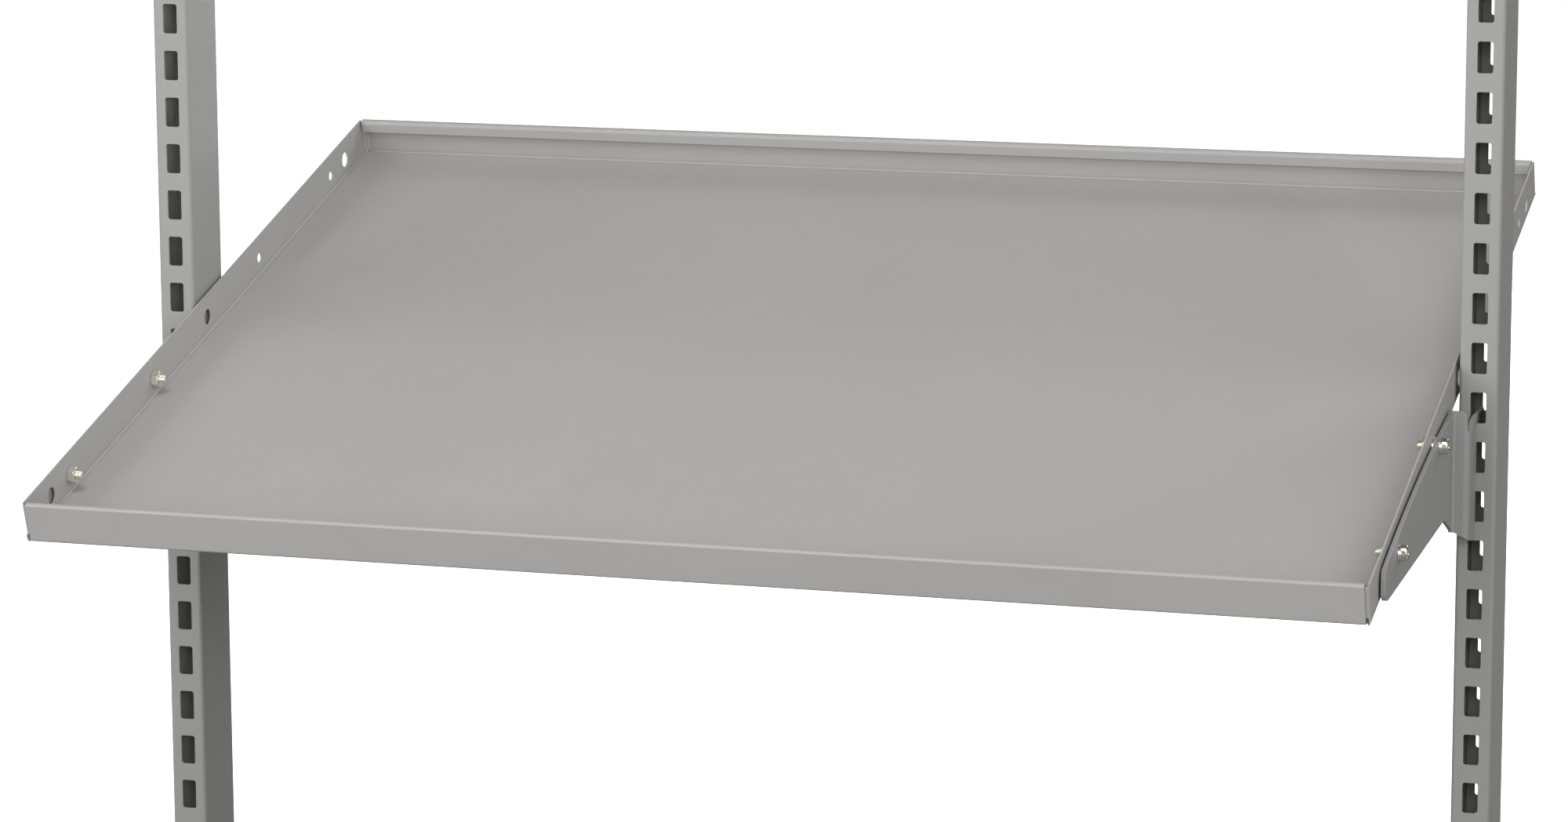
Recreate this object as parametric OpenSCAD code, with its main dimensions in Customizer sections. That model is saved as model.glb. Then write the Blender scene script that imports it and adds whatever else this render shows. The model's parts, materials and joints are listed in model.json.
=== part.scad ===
// Tilted sheet-steel tray shelf, bolted between two hook-in brackets that hang in slotted uprights.
// Millimetres. X runs across the shelf, Y from front to back, Z up.
// Origin: midway between the uprights, in the plane of their front faces, level with their lower ends.

/* [Uprights] */
// Distance between the centre lines of the two uprights
upright_spacing = 900; // [700:10:1200]
// Width of an upright tube, across its slotted face
upright_w = 25; // [24:0.5:28]
// Depth of an upright tube
upright_d = 50; // [40:1:60]
// Wall thickness of an upright tube
upright_wall = 2; // [1.5:0.25:2]
// Outer corner radius of an upright tube
upright_r = 2.5; // [2.25:0.25:3.5]
// Number of slots in an upright
slot_count = 22; // [18:1:30]
// Height from one slot to the next
slot_pitch = 32; // [30:1:36]
// Width of a slot
slot_w = 10; // [9:0.5:12]
// Height of a slot
slot_h = 20; // [18:0.5:22]
// Corner radius of a slot
slot_r = 1.5; // [1:0.25:2.5]
// Plain tube below the lowest slot and above the highest one
upright_end = 14; // [10:1:40]
// Number of the slot that carries the hooks, counted from 0 at the bottom
hook_slot = 11; // [5:1:16]

/* [Tray] */
// Depth of the tray from front face to rear face, along its floor
tray_d = 612; // [560:1:640]
// Height of the tray's walls
tray_h = 27; // [25:0.5:30]
// Thickness of the tray's sheet
sheet = 1; // [0.8:0.1:1.2]
// Tilt of the tray, rear edge up
tray_tilt = 17; // [16:0.25:18]
// Gap between the tray's side wall and the upright
side_gap = 2.5; // [2:0.25:4]
// Depth of the ledge along the top of the front and rear walls
ledge_d = 5.5; // [5:0.5:8]
// Height of the lip turned down from that ledge
lip_h = 8.5; // [6:0.5:12]
// Height of the hole row above the tray's underside
hole_h = 12; // [11:0.5:14]
// Diameter of the screw holes in the side walls
small_hole = 7; // [6.5:0.1:8]
// Diameter of the large holes in the side walls
large_hole = 11; // [9:0.5:12]

/* [Brackets] */
// Thickness of the bracket plate
plate = 2.5; // [2:0.25:3]
// Reach of the bracket in front of the uprights
reach = 252; // [245:1:260]
// Distance from the upright's front face to the joggle's front face
joggle_y = 26; // [24:1:30]
// Depth of the hook behind the upright's front face, along its top
hook_d = 29; // [26:1:34]
// Drop of the hook's tip behind the slot's lower edge
hook_drop = 6; // [4:0.5:7]
// Height of the hook above the slot's lower edge
hook_h = 6.4; // [5:0.2:9]

/* [Fasteners] */
// Thread size of the screws
screw_size = 6; // [5:1:6]
// Length of the screws under the head
screw_l = 14; // [13:0.5:20]
// Thickness of the spacer washers between tray and bracket
washer_t = 1.6; // [1.2:0.1:2]

/* [Hidden] */
$fn = 48;

// Colours: grey powder coat and zinc plate
coat = [0.62, 0.63, 0.62];
zinc = [0.78, 0.78, 0.72];

// Uprights
upright_l = (slot_count - 1) * slot_pitch + slot_h + 2 * upright_end;
upright_x = upright_spacing / 2;
seat_z = upright_end + hook_slot * slot_pitch;  // lower edge of the slot that carries the hook

// Tray, in its own frame: x across, v from the front face to the back, w up from its underside
tray_w = upright_spacing - upright_w - 2 * side_gap;
tray_x = tray_w / 2;
tray_front = -273.7;        // y of the tray's front lower edge
tray_low = seat_z - 74.2;   // z of the tray's front lower edge
bend_in = 1;                // inner radius of the bends between floor and walls
bend_out = bend_in + sheet;
ledge_in = 0.5;             // inner radius of the bend from a wall to its ledge
ledge_out = ledge_in + sheet;
lip_in = 1.75;              // inner radius of the bend from the ledge to the lip
lip_out = lip_in + sheet;
fold_x = tray_x - bend_out; // where the side wall's bends begin
end_gap = 1;                // gap between the ends of the front wall and the corner bends
slit = 0.5;                 // gap below the corner bends
front_tab = 18;             // length of the corner tabs behind the front wall
front_foot = 5;             // underside of those tabs, above the tray's underside
rear_tab = 4;               // length of the corner tabs in front of the rear wall
tab_top = tray_h - 1.5 * sheet;
screw_v = [70, 210];        // screws, from the tray's front face
spare_v = [for (v = screw_v) tray_d - v];
large_v = [41, tray_d / 2, tray_d - 41];

// Fasteners
head_d = 1.5 * screw_size + 1;
head_h = screw_size;
shank_r = screw_size / 2 - 0.1;
bore_r = screw_size / 2;    // inside radius of the nuts
nut_af = 2 * screw_size - 2;
nut_h = screw_size - 1;
washer_r = screw_size;
clear_r = screw_size / 2 + 0.25;

// Brackets
plate_in = tray_x + washer_t;            // inner face of the bracket's side plate
plate_out = plate_in + plate;
hook_out = upright_x - 0.5;              // outer face of the hook plate
hook_in = hook_out - plate;
fold_in = 1.5;                           // inner radius of the joggle's bends
fold_out = fold_in + plate;
fold_1 = [plate_out + fold_in, -joggle_y - fold_in];         // centre of the first bend
fold_2 = [hook_in - fold_in, -joggle_y + plate + fold_in];   // centre of the second bend
plate_top = 12;                          // top of the joggle above the hook's seat
plate_foot = 3 * slot_pitch - slot_h;    // foot of the bracket below the hook's seat
heel = [-53, -53];                       // corner of the lower edge, from the hook's seat
fold_foot = [64.1, 66.4, 68.6, 71.4];    // depth of the lower edge where each bend starts and ends
seat_gap = 0.05;
wall_gap = 0.4;                          // play of the hook behind the upright's wall

function unit(a) = a / norm(a);

// Points of a rounded corner at p, between the neighbours a and b
function corner(p, a, b, r, steps = 6) =
    let (
        u = unit(a - p),
        w = unit(b - p),
        half = acos(u * w) / 2,
        c = p + unit(u + w) * r / sin(half),
        s = p + u * r / tan(half) - c,
        e = p + w * r / tan(half) - c,
        from = atan2(s[1], s[0]),
        turn = (atan2(e[1], e[0]) - from + 540) % 360 - 180
    )
    [for (i = [0:steps]) c + r * [cos(from + turn * i / steps), sin(from + turn * i / steps)]];

// Outline from points [a, b, r]: each corner gets the radius r
function rounded(pts) =
    let (n = len(pts), xy = [for (p = pts) [p[0], p[1]]])
    [for (i = [0:n - 1])
        each pts[i][2] > 0
            ? corner(xy[i], xy[(i + n - 1) % n], xy[(i + 1) % n], pts[i][2])
            : [xy[i]]];

// Shallow arc from p to q that rises by sag at its middle
function shallow(p, q, sag, steps = 12) =
    let (side = unit([p[1] - q[1], q[0] - p[0]]))
    [for (i = [0:steps]) let (t = i / steps) p + (q - p) * t + side * 4 * sag * t * (1 - t)];

// Place of a point of the tray, given as [v, w], in the shelf's Y and Z
function tray_yz(v, w) = [
    tray_front + v * cos(tray_tilt) - w * sin(tray_tilt),
    tray_low + v * sin(tray_tilt) + w * cos(tray_tilt)
];

// Flat shape drawn in Y and Z, made a plate from x0 to x1
module plate_yz(x0, x1) {
    translate([x0, 0, 0])
        rotate([90, 0, 90])
            linear_extrude(x1 - x0)
                children();
}

// Flat shape drawn in X and Z, made a plate from y0 to y1
module plate_xz(y0, y1) {
    translate([0, y1, 0])
        rotate([90, 0, 0])
            linear_extrude(y1 - y0)
                children();
}

// Quarter of a ring: the section of a 90 degree bend that starts at the angle from
module bend(r_in, t, from) {
    difference() {
        intersection() {
            circle(r_in + t);
            rotate(from)
                square(r_in + t);
        }
        circle(r_in);
    }
}

module round_box(w, d, r) {
    square([w - 2 * r, d], center = true);
    square([w, d - 2 * r], center = true);
    for (sx = [-1, 1], sy = [-1, 1])
        translate([sx * (w / 2 - r), sy * (d / 2 - r)])
            circle(r);
}

// Puts a part on the right, or its mirror image on the left
module on_side(side) {
    if (side < 0)
        mirror([1, 0, 0])
            children();
    else
        children();
}

// Puts a part that is built along +Z at a hole of the tray's side wall, pointing outward
module at_hole(side, v, x) {
    on_side(side)
        translate([x, tray_yz(v, hole_h)[0], tray_yz(v, hole_h)[1]])
            rotate([0, 90, 0])
                children();
}

module upright(side) {
    color(coat)
        translate([side * upright_x, upright_d / 2, 0])
            difference() {
                linear_extrude(upright_l)
                    difference() {
                        round_box(upright_w, upright_d, upright_r);
                        round_box(upright_w - 2 * upright_wall, upright_d - 2 * upright_wall,
                                  upright_r - upright_wall);
                    }
                for (i = [0:slot_count - 1])
                    translate([0, upright_d / 2 + 1, upright_end + i * slot_pitch + slot_h / 2])
                        rotate([90, 0, 0])
                            linear_extrude(upright_d + 2)
                                round_box(slot_w, slot_h, slot_r);
            }
}

// Section of a front or rear wall, from the floor's end to the end of the lip
module wall_section() {
    translate([bend_out, bend_out])
        bend(bend_in, sheet, 180);
    translate([0, bend_out])
        square([sheet, tray_h - bend_out - ledge_out]);
    translate([ledge_out, tray_h - ledge_out])
        bend(ledge_in, sheet, 90);
    translate([ledge_out, tray_h - sheet])
        square([ledge_d - ledge_out - lip_out, sheet]);
    translate([ledge_d - lip_out, tray_h - lip_out])
        bend(lip_in, sheet, 0);
    translate([ledge_d - sheet, tray_h - lip_h])
        square([sheet, lip_h - lip_out]);
}

// Floor, front wall and rear wall, folded from one sheet; the rear wall reaches the corner bends
module tray_long_folds() {
    plate_yz(end_gap - fold_x, fold_x - end_gap) {
        wall_section();
        translate([bend_out, 0])
            square([tray_d - 2 * bend_out, sheet]);
    }
    plate_yz(-fold_x, fold_x)
        translate([tray_d, 0])
            mirror([1, 0])
                wall_section();
}

// Section of the right side wall with the bend at its foot, up to the height top
module side_section(top) {
    translate([tray_x - sheet, bend_out])
        square([sheet, top - bend_out]);
    translate([fold_x, bend_out])
        bend(bend_in, sheet, 270);
}

// Right side wall: below the corner tabs it runs on to the corners
module tray_side() {
    fold_v = bend_out + sheet;
    plate_xz(fold_v, tray_d - fold_v)
        side_section(tray_h);
    plate_xz(fold_v, tray_d - bend_out)
        translate([fold_x - end_gap - 1, 0])
            square([end_gap + 1, sheet]);
    plate_xz(slit, fold_v)
        side_section(front_foot);
    plate_xz(tray_d - fold_v, tray_d - slit)
        side_section(bend_out + slit);
}

// Tab that turns from the right side wall behind the front wall, and its mirror image at the rear
module tray_tab(length, foot) {
    translate([0, 0, foot])
        linear_extrude(tab_top - foot) {
            translate([fold_x, bend_out + sheet])
                bend(bend_in, sheet, 270);
            translate([fold_x - length, sheet])
                square([length, sheet]);
        }
}

module tray() {
    color(coat)
        translate([0, tray_front, tray_low])
            rotate([tray_tilt, 0, 0])
                difference() {
                    union() {
                        tray_long_folds();
                        for (side = [-1, 1])
                            on_side(side) {
                                tray_side();
                                tray_tab(front_tab, front_foot);
                                translate([0, tray_d, 0])
                                    mirror([0, 1, 0])
                                        tray_tab(rear_tab, bend_out + slit);
                            }
                    }
                    for (v = concat(screw_v, spare_v))
                        side_holes(v, small_hole);
                    for (v = large_v)
                        side_holes(v, large_hole);
                }
}

// A pair of holes through the tray's side walls
module side_holes(v, d) {
    for (side = [-1, 1])
        translate([side * (tray_x - sheet / 2), v, hole_h])
            rotate([0, 90, 0])
                cylinder(d = d, h = 4, center = true);
}

// Side plate's outline, from the hook's seat: the top edge is a shallow arc down to the rounded tip,
// the lower edge runs on round the inside of the first bend
module side_outline() {
    tip_top = [-reach, -48];
    fall = fold_foot[1] - fold_foot[0];
    polygon(concat(
        rounded([
            [-joggle_y + plate, -fold_foot[1], 0],
            for (a = [90:-15:0])
                [fold_1[1] + fold_in * sin(a), -fold_foot[0] - fall * a / 90, 0],
            [heel[0], heel[1], 2],
            [-reach + 10, -65.2, 4],
            [-reach, -63, 5.5],
            [tip_top[0], tip_top[1] + 1, 5],
            [tip_top[0] + 8, tip_top[1] + 5.5, 8],
            [tip_top[0] + 14, tip_top[1] + 7.5, 0]
        ]),
        shallow([tip_top[0] + 14, tip_top[1] + 7.5], [fold_1[1], plate_top], 3.6),
        [[-joggle_y + plate, plate_top]]
    ));
}

// Outline across the joggle: a rounded top corner, the notch beside it and a slanted foot that
// runs on round the outside of the second bend
module joggle_outline() {
    free_x = hook_out - 2;
    fall = fold_foot[3] - fold_foot[2];
    polygon(rounded([
        [fold_1[0], plate_top, 0],
        [free_x, plate_top, 4.5],
        [free_x, -0.5, 0],
        [hook_out + 1, -0.5, 0],
        [hook_out + 1, -fold_foot[3], 0],
        for (a = [90:-15:0])
            [fold_2[0] + fold_out * sin(a), -fold_foot[2] - fall * a / 90, 0],
        [fold_1[0], -fold_foot[1], 0]
    ]));
}

// Hook plate's outline: the foot bears on the upright, the hook drops behind the slot's lower edge
module hook_outline() {
    lip_y = upright_wall + wall_gap;
    polygon(rounded([
        [fold_2[1], -fold_foot[3], 0],
        [-0.1, -plate_foot, 1],
        [-0.1, seat_gap, 0],
        [lip_y, seat_gap, 0],
        [lip_y, -hook_drop + 1.5, 0],
        [lip_y + 1.5, -hook_drop, 0.5],
        [hook_d - hook_h - hook_drop - 2.6, -hook_drop, 1.5],
        [hook_d, hook_h, 1.5],
        [-3, hook_h - 0.7, 15],
        [-12.5, hook_h - 2.6, 15],
        [fold_2[1] + 1, -0.5, 0.5],
        [fold_2[1], -0.5, 0]
    ]));
}

module bracket(side) {
    color(coat)
        on_side(side)
            difference() {
                translate([0, 0, seat_z]) {
                    intersection() {
                        translate([0, 0, -100])
                            linear_extrude(150) {
                                translate([plate_in, -reach - 10])
                                    square([plate, reach + 10 + fold_1[1]]);
                                translate(fold_1)
                                    bend(fold_in, plate, 90);
                            }
                        plate_yz(plate_in - 1, plate_out + fold_out)
                            side_outline();
                    }
                    intersection() {
                        translate([0, 0, -100])
                            linear_extrude(150) {
                                translate([fold_1[0], -joggle_y])
                                    square([fold_2[0] - fold_1[0], plate]);
                                translate(fold_2)
                                    bend(fold_in, plate, 270);
                            }
                        plate_xz(-joggle_y - 1, 0)
                            joggle_outline();
                    }
                    plate_yz(hook_in, hook_out)
                        hook_outline();
                }
                for (v = screw_v)
                    at_hole(1, v, plate_in - 1)
                        cylinder(r = clear_r, h = plate + 2);
            }
}

// Socket head cap screw: its tip points inward, through bracket, washer, side wall and nut
module screw(side, v) {
    color(zinc)
        at_hole(side, v, plate_out) {
            difference() {
                union() {
                    cylinder(d = head_d, h = head_h - 0.6);
                    translate([0, 0, head_h - 0.6])
                        cylinder(d1 = head_d, d2 = head_d - 1.2, h = 0.6);
                }
                translate([0, 0, head_h / 2])
                    cylinder(r = screw_size * 5 / 12 / cos(30), h = head_h, $fn = 6);
            }
            translate([0, 0, 0.8 - screw_l])
                cylinder(r = shank_r, h = screw_l - 0.8);
            translate([0, 0, -screw_l])
                cylinder(r1 = shank_r - 0.8, r2 = shank_r, h = 0.8);
        }
}

// Hex nut on the inside of the tray's side wall, its corners chamfered
module nut(side, v) {
    across = nut_af / cos(30);
    chamfer_h = (across - nut_af) / 2 * tan(30);
    color(zinc)
        at_hole(side, v, tray_x - sheet - nut_h)
            difference() {
                intersection() {
                    cylinder(d = across, h = nut_h, $fn = 6);
                    union() {
                        cylinder(d1 = nut_af, d2 = across, h = chamfer_h);
                        translate([0, 0, chamfer_h])
                            cylinder(d = across + 1, h = nut_h - 2 * chamfer_h);
                        translate([0, 0, nut_h - chamfer_h])
                            cylinder(d1 = across, d2 = nut_af, h = chamfer_h);
                    }
                }
                translate([0, 0, -1])
                    cylinder(r = bore_r, h = nut_h + 2);
            }
}

module washer(side, v) {
    color(zinc)
        at_hole(side, v, tray_x)
            difference() {
                cylinder(r = washer_r, h = washer_t);
                translate([0, 0, -1])
                    cylinder(r = screw_size / 2 + 0.2, h = washer_t + 2);
            }
}

upright(-1);  // upright_left
upright(1);  // upright_right
tray();
bracket(-1);  // bracket_left
bracket(1);  // bracket_right
screw(-1, screw_v[0]);  // screw_left_front
screw(-1, screw_v[1]);  // screw_left_rear
screw(1, screw_v[0]);  // screw_right_front
screw(1, screw_v[1]);  // screw_right_rear
nut(-1, screw_v[0]);  // nut_left_front
nut(-1, screw_v[1]);  // nut_left_rear
nut(1, screw_v[0]);  // nut_right_front
nut(1, screw_v[1]);  // nut_right_rear
washer(-1, screw_v[0]);  // washer_left_front
washer(-1, screw_v[1]);  // washer_left_rear
washer(1, screw_v[0]);  // washer_right_front
washer(1, screw_v[1]);  // washer_right_rear
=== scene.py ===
"""Looks for the tilted tray shelf: grey powder-coated steel and zinc-plated fasteners, in metres."""
import bmesh
import bpy
import json
import math
from mathutils import Matrix, Vector


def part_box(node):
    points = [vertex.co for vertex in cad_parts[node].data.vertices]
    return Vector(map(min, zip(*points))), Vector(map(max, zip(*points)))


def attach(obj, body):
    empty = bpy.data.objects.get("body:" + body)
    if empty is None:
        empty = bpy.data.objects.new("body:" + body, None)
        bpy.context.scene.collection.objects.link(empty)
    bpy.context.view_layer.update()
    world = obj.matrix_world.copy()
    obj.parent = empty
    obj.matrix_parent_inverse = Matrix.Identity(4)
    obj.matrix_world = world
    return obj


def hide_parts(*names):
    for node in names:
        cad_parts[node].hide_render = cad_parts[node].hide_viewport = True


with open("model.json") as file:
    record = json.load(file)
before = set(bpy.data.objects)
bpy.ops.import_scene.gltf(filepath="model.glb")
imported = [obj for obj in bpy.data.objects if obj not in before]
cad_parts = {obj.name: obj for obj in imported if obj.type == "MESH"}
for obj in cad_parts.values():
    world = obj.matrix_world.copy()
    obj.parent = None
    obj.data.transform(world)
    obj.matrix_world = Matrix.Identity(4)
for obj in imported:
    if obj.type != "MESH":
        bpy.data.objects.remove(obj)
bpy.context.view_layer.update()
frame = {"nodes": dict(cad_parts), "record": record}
MM = 0.001


# ---------------------------------------------------------------- shader helpers
class Tree:
    """Short calls for building one material's nodes."""

    def __init__(self, name):
        self.mat = bpy.data.materials.new(name)
        self.mat.use_nodes = True
        self.nt = self.mat.node_tree
        self.nt.nodes.clear()
        self.out = self.nt.nodes.new("ShaderNodeOutputMaterial")
        self.bsdf = self.nt.nodes.new("ShaderNodeBsdfPrincipled")
        self.nt.links.new(self.bsdf.outputs[0], self.out.inputs["Surface"])
        self.coord = self.nt.nodes.new("ShaderNodeTexCoord").outputs["Object"]

    def link(self, a, b):
        self.nt.links.new(a, b)

    def noise(self, scale, detail=2.0, rough=0.5, stretch=None):
        n = self.nt.nodes.new("ShaderNodeTexNoise")
        n.inputs["Scale"].default_value = scale
        n.inputs["Detail"].default_value = detail
        n.inputs["Roughness"].default_value = rough
        source = self.coord
        if stretch:
            m = self.nt.nodes.new("ShaderNodeMapping")
            m.inputs["Scale"].default_value = stretch
            self.link(self.coord, m.inputs["Vector"])
            source = m.outputs[0]
        self.link(source, n.inputs["Vector"])
        return n.outputs["Fac"]

    def remap(self, value, lo, hi, to_lo, to_hi):
        r = self.nt.nodes.new("ShaderNodeMapRange")
        r.clamp = True
        for key, number in (("From Min", lo), ("From Max", hi), ("To Min", to_lo), ("To Max", to_hi)):
            r.inputs[key].default_value = number
        self.link(value, r.inputs["Value"])
        return r.outputs["Result"]

    def math(self, op, a, b):
        n = self.nt.nodes.new("ShaderNodeMath")
        n.operation = op
        for i, v in enumerate((a, b)):
            if isinstance(v, (int, float)):
                n.inputs[i].default_value = v
            else:
                self.link(v, n.inputs[i])
        return n.outputs[0]

    def mix(self, fac, a, b):
        n = self.nt.nodes.new("ShaderNodeMix")
        n.data_type = "RGBA"
        if isinstance(fac, (int, float)):
            n.inputs[0].default_value = fac
        else:
            self.link(fac, n.inputs[0])
        for sock, v in ((n.inputs[6], a), (n.inputs[7], b)):
            if isinstance(v, (tuple, list)):
                sock.default_value = (*v, 1.0)
            else:
                self.link(v, sock)
        return n.outputs[2]

    def bump(self, height, distance, strength, normal=None):
        n = self.nt.nodes.new("ShaderNodeBump")
        n.inputs["Distance"].default_value = distance
        n.inputs["Strength"].default_value = strength
        self.link(height, n.inputs["Height"])
        if normal is not None:
            self.link(normal, n.inputs["Normal"])
        return n.outputs["Normal"]

    def edge(self, radius):
        """1 close to an edge of the mesh, 0 on flat faces, from rounded against true normals."""
        bevel = self.nt.nodes.new("ShaderNodeBevel")
        bevel.samples = 4
        bevel.inputs["Radius"].default_value = radius
        geo = self.nt.nodes.new("ShaderNodeNewGeometry")
        dot = self.nt.nodes.new("ShaderNodeVectorMath")
        dot.operation = "DOT_PRODUCT"
        self.link(bevel.outputs[0], dot.inputs[0])
        self.link(geo.outputs["Normal"], dot.inputs[1])
        return self.remap(dot.outputs["Value"], 0.75, 0.995, 1.0, 0.0)

    def open_air(self, distance):
        """1 on open faces and outer edges, 0 down in corners; used as the mask for painted shade in
        corners.
        """
        ao = self.nt.nodes.new("ShaderNodeAmbientOcclusion")
        ao.samples = 4
        ao.inputs["Distance"].default_value = distance
        return self.remap(ao.outputs["AO"], 0.6, 0.95, 0.0, 1.0)


def scaled(color, *gains):
    """A colour times one gain, or times a gain for each channel, no brighter than white."""
    if len(gains) == 1:
        gains = gains * 3
    return tuple(min(1.0, c * k) for c, k in zip(color, gains))


def powder_coat(name, color, sheet_waves=0.0, edge_gain=1.22, edge_width=0.0008, corners=False):
    """Satin grey powder coat: orange peel, soft tone drift, and paler edges, partly for the thin coat
    there and partly a painted highlight.

    With corners, painted shade makes the coat a little darker in inner corners, and the painted edge
    highlight is left out there; this costs time.
    """
    t = Tree(name)
    drift = t.remap(t.noise(5.0, 3.0, 0.55), 0.3, 0.7, 0.0, 1.0)
    tone = t.mix(drift, scaled(color, 0.975, 0.98, 0.985), scaled(color, 1.025, 1.02, 1.005))
    speck = t.remap(t.noise(2600.0, 1.0, 0.5), 0.56, 0.72, 0.0, 0.22)
    tone = t.mix(speck, tone, scaled(color, 1.25))
    grime = t.remap(t.noise(38.0, 4.0, 0.65), 0.55, 0.8, 0.0, 0.10)
    tone = t.mix(grime, tone, scaled(color, 0.8))
    patchy = t.remap(t.noise(160.0, 3.0, 0.6), 0.35, 0.7, 0.25, 0.75)
    # Paler edges: partly the thinner coat on the edges, partly a painted highlight where the edges catch
    # light.
    thin_coat_and_highlight = t.math("MULTIPLY", t.edge(edge_width), patchy)
    if corners:
        # Painted shade in inner corners, from an ambient occlusion mask: the painted edge highlight is
        # taken away there and the coat is darkened.
        air = t.open_air(0.004)
        thin_coat_and_highlight = t.math("MULTIPLY", thin_coat_and_highlight, air)
        tone = t.mix(t.math("SUBTRACT", 1.0, air), tone, scaled(color, 0.85))
    # The paler edge colour: thin coat and painted highlight together.
    tone = t.mix(thin_coat_and_highlight, tone, tuple(min(1.0, c * edge_gain + 0.01) for c in color))
    t.link(tone, t.bsdf.inputs["Base Color"])
    t.link(t.remap(t.noise(60.0, 4.0, 0.6), 0.3, 0.7, 0.48, 0.6), t.bsdf.inputs["Roughness"])
    t.bsdf.inputs["Specular IOR Level"].default_value = 0.4
    peel = t.math("ADD", t.noise(420.0, 2.0, 0.5), t.math("MULTIPLY", t.noise(1500.0, 1.0, 0.5), 0.4))
    normal = t.bump(peel, 0.00016, 0.35)
    if sheet_waves:
        normal = t.bump(t.noise(3.2, 1.0, 0.4), sheet_waves, 1.0, normal)
    t.link(normal, t.bsdf.inputs["Normal"])
    return t.mat


def zinc_plate(name, color, smooth, dull):
    """Zinc plate with a faint yellow tint and fine turning marks, its roughness between two values."""
    t = Tree(name)
    patch = t.remap(t.noise(260.0, 4.0, 0.6), 0.3, 0.7, 0.0, 1.0)
    tone = t.mix(patch, color, scaled(color, 0.99, 0.97, 0.87))
    edge = t.edge(0.0003)
    tone = t.mix(t.math("MULTIPLY", edge, 0.5), tone, (0.9, 0.9, 0.88))
    t.link(tone, t.bsdf.inputs["Base Color"])
    t.bsdf.inputs["Metallic"].default_value = 1.0
    t.link(t.remap(t.noise(700.0, 3.0, 0.6), 0.3, 0.7, smooth, dull), t.bsdf.inputs["Roughness"])
    marks = t.noise(900.0, 2.0, 0.5, stretch=(6.0, 0.6, 0.6))
    t.link(t.bump(marks, 0.00004, 0.4), t.bsdf.inputs["Normal"])
    return t.mat


COAT = {
    "upright_coat": powder_coat("upright_coat", (0.290, 0.291, 0.283)),
    # The tray's coat gets painted shade in its inner corners.
    "tray_coat": powder_coat("tray_coat", (0.364, 0.3575, 0.349), sheet_waves=0.00012, corners=True),
    # The bracket's edges are made much paler than the tray's: a painted highlight on its rims.
    "bracket_coat": powder_coat("bracket_coat", (0.282, 0.283, 0.276), edge_gain=2.5, edge_width=0.0007),
}
ZINC = zinc_plate("zinc", (0.86, 0.86, 0.79), 0.2, 0.34)
NUT_ZINC = zinc_plate("zinc_nut", (0.80, 0.81, 0.75), 0.4, 0.52)

SLOT_OF = {s["node"]: s["material_slot"] for s in frame["record"]["subparts"]}


def soften(node, width, segments=2):
    """Rounds the cut edges of a carried-over sheet part a little, as its coat does."""
    weld = node.modifiers.new("weld", "WELD")
    weld.merge_threshold = 0.000002
    bevel = node.modifiers.new("edges", "BEVEL")
    bevel.width = width
    bevel.segments = segments
    bevel.limit_method = "ANGLE"
    bevel.angle_limit = math.radians(40)
    bevel.use_clamp_overlap = True
    even = node.modifiers.new("even", "WEIGHTED_NORMAL")
    even.keep_sharp = False


for name, node in frame["nodes"].items():
    coat = COAT.get(SLOT_OF[name])
    node.data.materials.clear()
    node.data.materials.append(coat or ZINC)


# ---------------------------------------------------------------- fasteners
def lathe_grid(rings, closed_ends=True):
    """Faces between rings of equal length, each a list of points round an axis."""
    verts = [p for ring in rings for p in ring]
    n = len(rings[0])
    faces = []
    for i in range(len(rings) - 1):
        for j in range(n):
            k = (j + 1) % n
            faces.append((i * n + j, i * n + k, (i + 1) * n + k, (i + 1) * n + j))
    if closed_ends:
        faces.append(tuple(reversed(range(n))))
        faces.append(tuple(range((len(rings) - 1) * n, len(rings) * n)))
    return verts, faces


def make_piece(name, verts, faces, side, spot, look=ZINC, smooth_deg=35.0):
    """Mesh built along +Z in millimetres, turned to point outward at spot on that side."""
    mesh = bpy.data.meshes.new(name)
    place = Matrix.Translation(spot) @ Matrix.Rotation(math.radians(90.0 * side), 4, "Y")
    mesh.from_pydata([place @ (Vector(v) * MM) for v in verts], [], faces)
    mesh.validate()
    mesh.update()
    obj = bpy.data.objects.new(name, mesh)
    bpy.context.scene.collection.objects.link(obj)
    mesh.materials.append(look)
    mesh.shade_smooth()
    mesh.set_sharp_from_angle(angle=math.radians(smooth_deg))
    return obj


def ring(radius_at, z, n):
    """One ring of n points at height z; radius_at gives the radius at an angle."""
    out = []
    for j in range(n):
        a = 2 * math.pi * j / n
        r = radius_at(a)
        out.append((r * math.cos(a), r * math.sin(a), z))
    return out


def thread_radius(a, z, pitch, crest, root):
    """Radius of a thread at angle a and height z: a flat crest, straight flanks and a flat root."""
    phase = (z / pitch - a / (2 * math.pi)) % 1.0
    rise = abs(phase - 0.5) * 2.0
    return root + (crest - root) * min(1.0, max(0.0, (rise - 0.12) / 0.7))


def hex_radius(a, across_flats):
    step = math.pi / 3
    off = (a % step) - step / 2
    return across_flats / 2 / math.cos(off)


AROUND = 96                               # points round a screw or a nut
HEAD_R, HEAD_H = 5.0, 6.0
SCREW_L, PITCH = 14.0, 1.0
CREST, ROOT = 2.93, 2.42                  # radii of the screw's thread
PER_TURN = 8                              # rings in one pitch of a thread
KNURLS, KNURL_DEPTH = 48, 0.11
KNURL_FROM, KNURL_TO = 0.95, 5.0          # heights on the head
SOCKET = 5.0                              # across the flats of the hex socket
NUT_H, NUT_FLATS, NUT_BORE = 5.0, 10.0, 2.97


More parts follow.
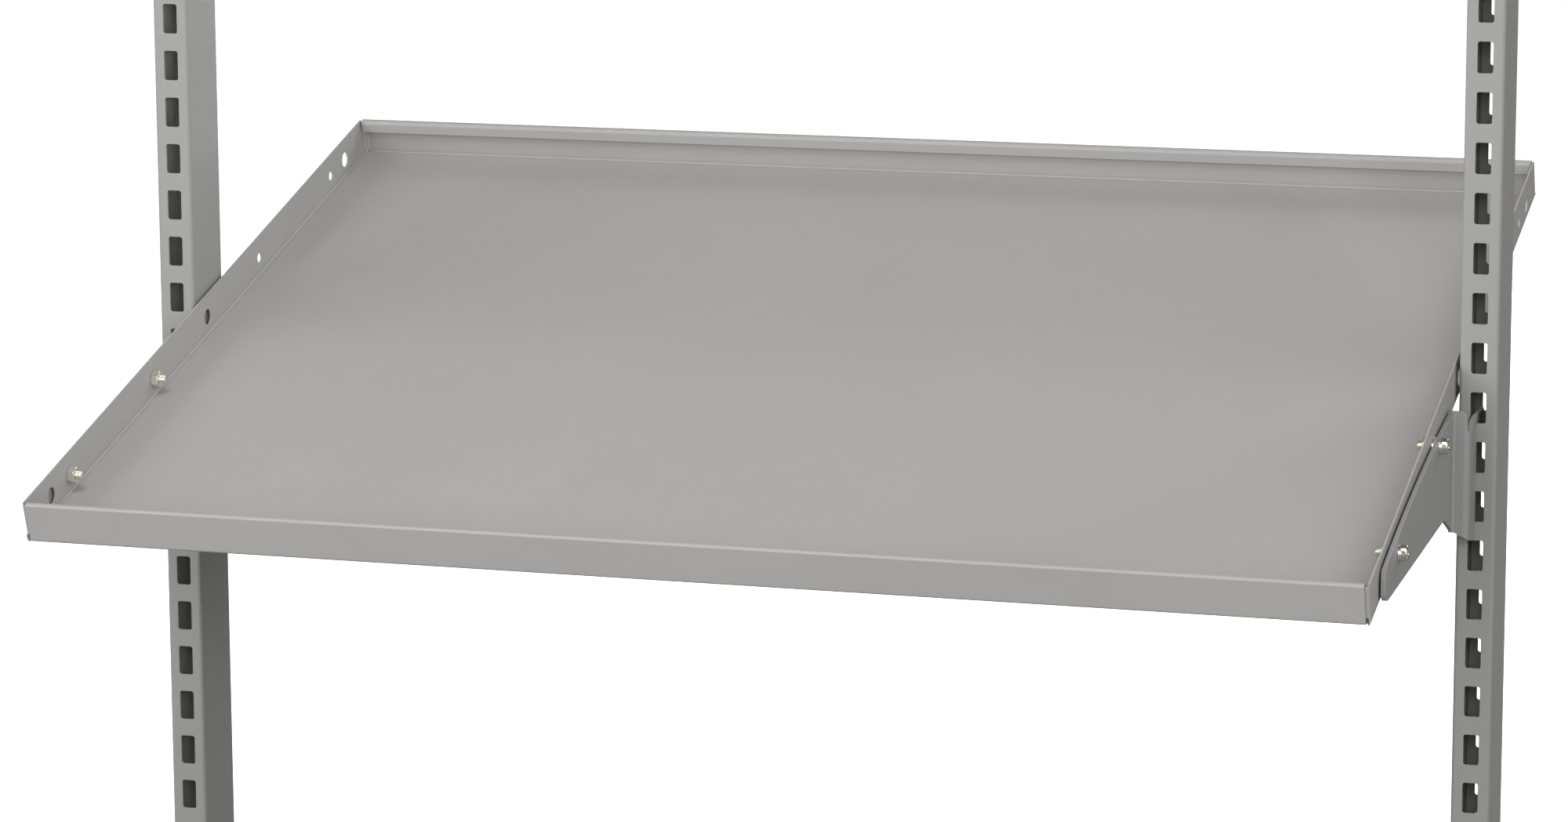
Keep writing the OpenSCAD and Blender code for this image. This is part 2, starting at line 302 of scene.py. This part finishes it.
def build_screw(name, side, spot):
    """Socket head cap screw: knurled head with a chamfer and a hex socket, threaded shank."""
    n = AROUND
    knurl = lambda a: HEAD_R - KNURL_DEPTH * (0.5 + 0.5 * math.cos(KNURLS * a))
    plain = lambda r: (lambda a: r)
    socket = lambda a: hex_radius(a, SOCKET)
    rings = []
    z = -SCREW_L
    rings.append(ring(plain(CREST - 1.0), z, n))
    steps = int(round((SCREW_L - 0.4) / (PITCH / PER_TURN)))
    for i in range(1, steps + 1):
        z = -SCREW_L + (SCREW_L - 0.4) * i / steps
        cap = CREST - 0.9 + (z + SCREW_L) * 1.0
        rings.append(ring(lambda a: min(cap, thread_radius(a, z, PITCH, CREST, ROOT)), z, n))
    rings.append(ring(plain(CREST), -0.3, n))
    rings.append(ring(plain(CREST + 0.15), 0.0, n))
    rings.append(ring(plain(HEAD_R - 0.35), 0.0, n))
    rings.append(ring(plain(HEAD_R - 0.1), 0.15, n))
    rings.append(ring(plain(HEAD_R), 0.4, n))
    rings.append(ring(plain(HEAD_R), 0.8, n))
    rings.append(ring(knurl, KNURL_FROM, n))
    rings.append(ring(knurl, KNURL_TO, n))
    rings.append(ring(plain(HEAD_R), 5.15, n))
    rings.append(ring(plain(HEAD_R), 5.35, n))
    rings.append(ring(plain(HEAD_R - 0.18), HEAD_H - 0.25, n))
    rings.append(ring(plain(HEAD_R - 0.6), HEAD_H, n))
    rings.append(ring(plain(3.35), HEAD_H, n))
    rings.append(ring(lambda a: max(2.95, socket(a)), 5.78, n))
    rings.append(ring(socket, 5.4, n))
    rings.append(ring(socket, 3.2, n))
    rings.append(ring(plain(2.0), 3.0, n))
    rings.append(ring(plain(0.6), 2.5, n))
    verts, faces = lathe_grid(rings)
    return make_piece(name, verts, faces, side, spot)


def build_nut(name, side, spot):
    """Hex nut, chamfered both sides, with a countersunk bore."""
    n, h, af = AROUND, NUT_H, NUT_FLATS
    tip = af / 2 / math.cos(math.pi / 6)

    def wall(z):
        drop = min(z, h - z)
        cone = af / 2 - 0.25 + drop * 1.9
        return lambda a: min(hex_radius(a, af), cone, tip - 0.02)

    rings = []
    count = int(h / (PITCH / PER_TURN))
    for i in range(count, -1, -1):
        z = h * i / count
        sink = max(0.0, 0.55 - min(z, h - z))
        rings.append(ring(lambda a: thread_radius(a, z, PITCH, NUT_BORE + 0.02, NUT_BORE) + sink, z, n))
    rings.append(ring(lambda a: af / 2 - 0.45, 0.0, n))
    for z in (0.0, 0.12, 0.25, 0.4, 0.6, 1.0, 2.5, 4.0, 4.4, 4.6, 4.75, 4.88, 5.0):
        rings.append(ring(wall(z), z, n))
    rings.append(ring(lambda a: af / 2 - 0.45, h, n))
    rings.append(rings[0])
    verts, faces = lathe_grid(rings, closed_ends=False)
    return make_piece(name, verts, faces, side, spot, NUT_ZINC)


def build_washer(name, side, spot, thick):
    """Plain washer with a rolled edge on one side and a slight burr on the other."""
    n, inner, outer = 72, 3.2, 6.0
    profile = [(inner + 0.12, 0.0), (outer - 0.1, 0.0), (outer, 0.1), (outer, thick - 0.35),
               (outer - 0.1, thick - 0.12), (outer - 0.35, thick), (inner + 0.25, thick),
               (inner + 0.05, thick - 0.1), (inner, thick - 0.3), (inner, 0.12), (inner + 0.12, 0.0)]
    rings = [ring(lambda a, r=r: r, z, n) for r, z in profile]
    verts, faces = lathe_grid(rings, closed_ends=False)
    return make_piece(name, verts, faces, side, spot)


for side, side_name in ((-1, "left"), (1, "right")):
    for place in ("front", "rear"):
        lo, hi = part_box(f"screw_{side_name}_{place}")
        w_lo, w_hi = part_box(f"washer_{side_name}_{place}")
        n_lo, n_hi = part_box(f"nut_{side_name}_{place}")
        middle = (lo + hi) / 2
        tip_x = lo.x if side > 0 else hi.x
        seat = Vector((tip_x + side * SCREW_L * MM, middle.y, middle.z))
        inner = w_lo.x if side > 0 else w_hi.x
        nut_x = n_lo.x if side > 0 else n_hi.x
        thick = (w_hi.x - w_lo.x) / MM
        for kind, obj in (
            ("screw", build_screw(f"cap_screw_{side_name}_{place}", side, seat)),
            ("nut", build_nut(f"hex_nut_{side_name}_{place}", side, Vector((nut_x, middle.y, middle.z)))),
            ("washer", build_washer(f"spacer_{side_name}_{place}", side,
                                    Vector((inner, middle.y, middle.z)), thick)),
        ):
            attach(obj, "shelf")
            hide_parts(f"{kind}_{side_name}_{place}")

for name in ("bracket_left", "bracket_right"):
    soften(frame["nodes"][name], 0.0004)
soften(frame["nodes"]["tray"], 0.00025)


# ---------------------------------------------------------------- uprights
WALL, SKIN, CORNER = 2.0, 0.35, 2.5                    # wall, rolled edge and outer corner radius
SLOTS, STEP, SLOT_W, SLOT_H, SLOT_R, END = 22, 32.0, 10.0, 20.0, 1.5, 14.0
MID = 0.3 * SKIN                                       # middle point of a rolled edge, in and up
NEAR, FAR = 0.35, 0.675                                # where a face is cut, as shares of its flat
QUADRANTS = ((1, 1), (-1, 1), (-1, -1), (1, -1))       # signs of x and z, going round


def tube_loop(w, d, r, flat, steps=6):
    """Section of the tube as (x, y, outward x, outward y), the flats cut at the same places."""
    cuts = (-flat, -flat * FAR, -flat * NEAR, flat * NEAR, flat * FAR, flat)
    quarter = []
    for i in range(1, steps + 1):
        a = math.radians(90.0 * i / steps)
        quarter.append((math.sin(a), -math.cos(a)))
    right = [(w / 2 - r + r * c, -d / 2 + r + r * s, c, s) for c, s in quarter]
    right.append((w / 2, 0.0, 1.0, 0.0))
    right += [(x, -y, nx, -ny) for x, y, nx, ny in reversed(right[:-1])]
    front = [(x, -d / 2, 0.0, -1.0) for x in cuts]
    half = front + right
    return half + [(-x, -y, -nx, -ny) for x, y, nx, ny in half]


def slot_ring(grow, steps=4):
    """Rounded slot outline, grown a little, as (x, z) from the right side's top round to the left."""
    pts = []
    r = SLOT_R + grow
    for quadrant, (sx, sz) in enumerate(QUADRANTS):
        for i in range(steps + 1):
            a = math.radians(90.0 * (i if quadrant % 2 == 0 else steps - i) / steps)
            pts.append((sx * (SLOT_W / 2 - SLOT_R + r * math.cos(a)),
                        sz * (SLOT_H / 2 - SLOT_R + r * math.sin(a))))
    return pts


def build_upright(name, node_name):
    """Slotted tube: every slot and both cut ends have rolled edges."""
    lo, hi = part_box(node_name)
    w, d, length = ((hi - lo) / MM)[:]
    mid_x, mid_y = (lo.x + hi.x) / 2 / MM, (lo.y + hi.y) / 2 / MM
    flat = w / 2 - CORNER
    outer = tube_loop(w, d, CORNER, flat)
    inner = tube_loop(w - 2 * WALL, d - 2 * WALL, CORNER - WALL, flat)
    count = len(outer)
    half = count // 2
    index, verts, faces = {}, [], []

    def at(x, y, z):
        key = (round(x, 4), round(y, 4), round(z, 4))
        if key not in index:
            index[key] = len(verts)
            verts.append(((x + mid_x) * MM, (y + mid_y) * MM, lo.z + z * MM))
        return index[key]

    def quad(*corners):
        ids = []
        for c in corners:
            i = at(*c)
            if i not in ids:
                ids.append(i)
        if len(ids) > 2:
            faces.append(ids)

    first = END + SLOT_H / 2 - STEP / 2
    side_z = 0.5 * (STEP + SLOT_H - 2 * SLOT_R) / 2
    straight = SLOT_H / 2 - SLOT_R
    rows = [(SKIN, False), (first, False)]
    for i in range(SLOTS):
        middle = END + i * STEP + SLOT_H / 2
        for dz in (-side_z, -straight, straight, side_z, STEP / 2):
            rows.append((middle + dz, True))
    rows.append((length - SKIN, False))

    for (z0, _), (z1, slotted) in zip(rows, rows[1:]):
        for k in range(count):
            if slotted and k % half < 5:      # the front and back faces, which the slots take up
                continue
            for loop in (outer, inner):
                a, b = loop[k], loop[(k + 1) % count]
                quad((a[0], a[1], z0), (b[0], b[1], z0), (b[0], b[1], z1), (a[0], a[1], z1))

    for z, into in ((0.0, 1), (length, -1)):
        for k in range(count):
            for loop, turn in ((outer, -1), (inner, 1)):
                a, b = loop[k], loop[(k + 1) % count]
                steps = ((0.0, SKIN), (MID, MID), (SKIN, 0.0))
                for (in0, dz0), (in1, dz1) in zip(steps, steps[1:]):
                    quad(*[(p[0] + turn * p[2] * s, p[1] + turn * p[3] * s, z + into * h)
                           for p, s, h in ((a, in0, dz0), (b, in0, dz0), (b, in1, dz1), (a, in1, dz1))])
            a, b, c, e = outer[k], outer[(k + 1) % count], inner[(k + 1) % count], inner[k]
            quad(*[(p[0] + t * p[2] * SKIN, p[1] + t * p[3] * SKIN, z)
                   for p, t in ((a, -1), (b, -1), (c, 1), (e, 1))])

    top = STEP / 2
    one = [(flat, straight), (flat, side_z), (flat, top), (flat * FAR, top), (flat * NEAR, top)]
    rim = []
    for quadrant, (sx, sz) in enumerate(QUADRANTS):
        pts = one if quadrant % 2 == 0 else one[::-1]
        rim += [(sx * x, sz * z) for x, z in pts]
    n = len(rim)
    for i in range(SLOTS):
        middle = END + i * STEP + SLOT_H / 2
        for face_y, into in ((-d / 2, 1), (d / 2, -1)):
            rings = [(rim, 0.0), (slot_ring(SKIN), 0.0), (slot_ring(MID), MID),
                     (slot_ring(0.0), SKIN), (slot_ring(0.0), WALL - SKIN),
                     (slot_ring(MID), WALL - MID), (slot_ring(SKIN), WALL), (rim, WALL)]
            for (p0, y0), (p1, y1) in zip(rings, rings[1:]):
                for k in range(n):
                    m = (k + 1) % n
                    quad((p0[k][0], face_y + into * y0, middle + p0[k][1]),
                         (p0[m][0], face_y + into * y0, middle + p0[m][1]),
                         (p1[m][0], face_y + into * y1, middle + p1[m][1]),
                         (p1[k][0], face_y + into * y1, middle + p1[k][1]))

    mesh = bpy.data.meshes.new(name)
    mesh.from_pydata(verts, [], faces)
    shape = bmesh.new()
    shape.from_mesh(mesh)
    bmesh.ops.recalc_face_normals(shape, faces=shape.faces)
    shape.to_mesh(mesh)
    shape.free()
    obj = bpy.data.objects.new(name, mesh)
    bpy.context.scene.collection.objects.link(obj)
    mesh.materials.append(COAT["upright_coat"])
    mesh.shade_smooth()
    even = obj.modifiers.new("even", "WEIGHTED_NORMAL")
    even.keep_sharp = False
    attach(obj, "uprights")
    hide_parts(node_name)
    return obj


for name in ("upright_left", "upright_right"):
    build_upright(name.replace("upright", "slotted_tube"), name)


# ---------------------------------------------------------------- stage
def area(name, where, at, size, watts):
    """Soft white lamp of this width and height, turned to face a point."""
    data = bpy.data.lights.new(name, "AREA")
    data.shape = "RECTANGLE"
    data.size, data.size_y = size
    data.energy = watts
    obj = bpy.data.objects.new(name, data)
    obj.location = where
    obj.rotation_euler = (Vector(at) - Vector(where)).to_track_quat("-Z", "Y").to_euler()
    bpy.context.scene.collection.objects.link(obj)
    return obj


FLOOR_GLOW, FLOOR_BOUNCE = 0.95, 0.24
SWEEP_R, SWEEP_H, SWEEP_N = 28.0, 24.0, 64              # radius and height of the wall, and its sides
floor_mesh = bpy.data.meshes.new("floor")
sweep_rim = [(SWEEP_R * math.cos(2 * math.pi * i / SWEEP_N), SWEEP_R * math.sin(2 * math.pi * i / SWEEP_N))
             for i in range(SWEEP_N)]
# Pale paper: a round floor, and a wall that stands on its rim all the way round
sweep_points = [(x, y, z) for z in (0.0, SWEEP_H) for x, y in sweep_rim]
sweep_floor = tuple(range(SWEEP_N))
sweep_wall = [(i, (i + 1) % SWEEP_N, SWEEP_N + (i + 1) % SWEEP_N, SWEEP_N + i) for i in range(SWEEP_N)]
floor_mesh.from_pydata(sweep_points, [], [sweep_floor] + sweep_wall)
floor = bpy.data.objects.new("floor", floor_mesh)
bpy.context.scene.collection.objects.link(floor)
paper = Tree("paper")
# Paper that is lit past white where the camera sees it, and returns less light to the shelf
paper.nt.nodes.remove(paper.bsdf)
grain = paper.remap(paper.noise(1.5, 3.0), 0.3, 0.7, 0.0, 1.0)
seen = paper.nt.nodes.new("ShaderNodeBsdfDiffuse")
paper.link(paper.mix(grain, (0.90, 0.90, 0.90), (0.93, 0.93, 0.93)), seen.inputs["Color"])
glow = paper.nt.nodes.new("ShaderNodeEmission")
glow.inputs["Strength"].default_value = FLOOR_GLOW
lit = paper.nt.nodes.new("ShaderNodeAddShader")
paper.link(seen.outputs[0], lit.inputs[0])
paper.link(glow.outputs[0], lit.inputs[1])
bounce = paper.nt.nodes.new("ShaderNodeBsdfDiffuse")
bounce.inputs["Color"].default_value = (FLOOR_BOUNCE, FLOOR_BOUNCE, FLOOR_BOUNCE, 1.0)
path = paper.nt.nodes.new("ShaderNodeLightPath")
both = paper.nt.nodes.new("ShaderNodeMixShader")
paper.link(path.outputs["Is Camera Ray"], both.inputs[0])
paper.link(bounce.outputs[0], both.inputs[1])
paper.link(lit.outputs[0], both.inputs[2])
paper.link(both.outputs[0], paper.out.inputs["Surface"])
floor.data.materials.append(paper.mat)

WORLD_LIGHT = 0.08
world = bpy.data.worlds.new("studio")
world.use_nodes = True
world.node_tree.nodes["Background"].inputs[0].default_value = (1.0, 1.0, 1.0, 1.0)
world.node_tree.nodes["Background"].inputs[1].default_value = WORLD_LIGHT
bpy.context.scene.world = world

area("left", (-3.0, -1.5, 1.6), (0.0, 0.0, 0.4), (3.2, 3.0), 67.8)
area("right", (3.0, -1.5, 1.6), (0.0, 0.0, 0.4), (3.2, 3.0), 63)
area("front", (1.3, -3.6, 1.4), (0.0, 0.0, 0.4), (1.5, 1.2), 46.6)
area("front_left", (-2.0, -3.8, 1.1), (0.0, 0.0, 0.4), (2.0, 1.5), 38)
area("over", (-0.25, -1.0, 1.8), (0.0, 0.0, 0.5), (0.9, 0.9), 11.7)
area("low_front", (-0.4, -1.6, 0.25), (-0.3, -0.2, 0.35), (2.0, 0.4), 3.4)
area("rear", (1.5, 2.2, 2.6), (0.0, 0.0, 0.4), (2.0, 1.4), 42.4)
area("low_rear", (0.0, 3.0, 0.7), (0.0, 0.0, 0.4), (0.8, 0.8), 22)

# ---------------------------------------------------------------- camera
EYE = Vector((0.9792, -3.1648, 0.9517))
SENSOR, LENS = 36.0, 116.53
YAW, PITCH_DOWN, ROLL = math.radians(17.404), math.radians(10.270), math.radians(-0.21)
cam_data = bpy.data.cameras.new("camera")
cam_data.sensor_width = SENSOR
cam_data.lens = LENS
cam_data.clip_start, cam_data.clip_end = 0.05, 100.0
cam = bpy.data.objects.new("camera", cam_data)
forward = Vector((-math.sin(YAW) * math.cos(PITCH_DOWN),
                  math.cos(YAW) * math.cos(PITCH_DOWN),
                  -math.sin(PITCH_DOWN)))
level = Vector((math.cos(YAW), math.sin(YAW), 0.0))
above = level.cross(forward)
right = math.cos(ROLL) * level + math.sin(ROLL) * above
up = -math.sin(ROLL) * level + math.cos(ROLL) * above
cam.matrix_world = Matrix((
    (right.x, up.x, -forward.x, EYE.x),
    (right.y, up.y, -forward.y, EYE.y),
    (right.z, up.z, -forward.z, EYE.z),
    (0, 0, 0, 1),
))
bpy.context.scene.collection.objects.link(cam)
bpy.context.scene.camera = cam
bpy.context.scene.view_settings.view_transform = "Standard"
bpy.context.scene.view_settings.look = "None"
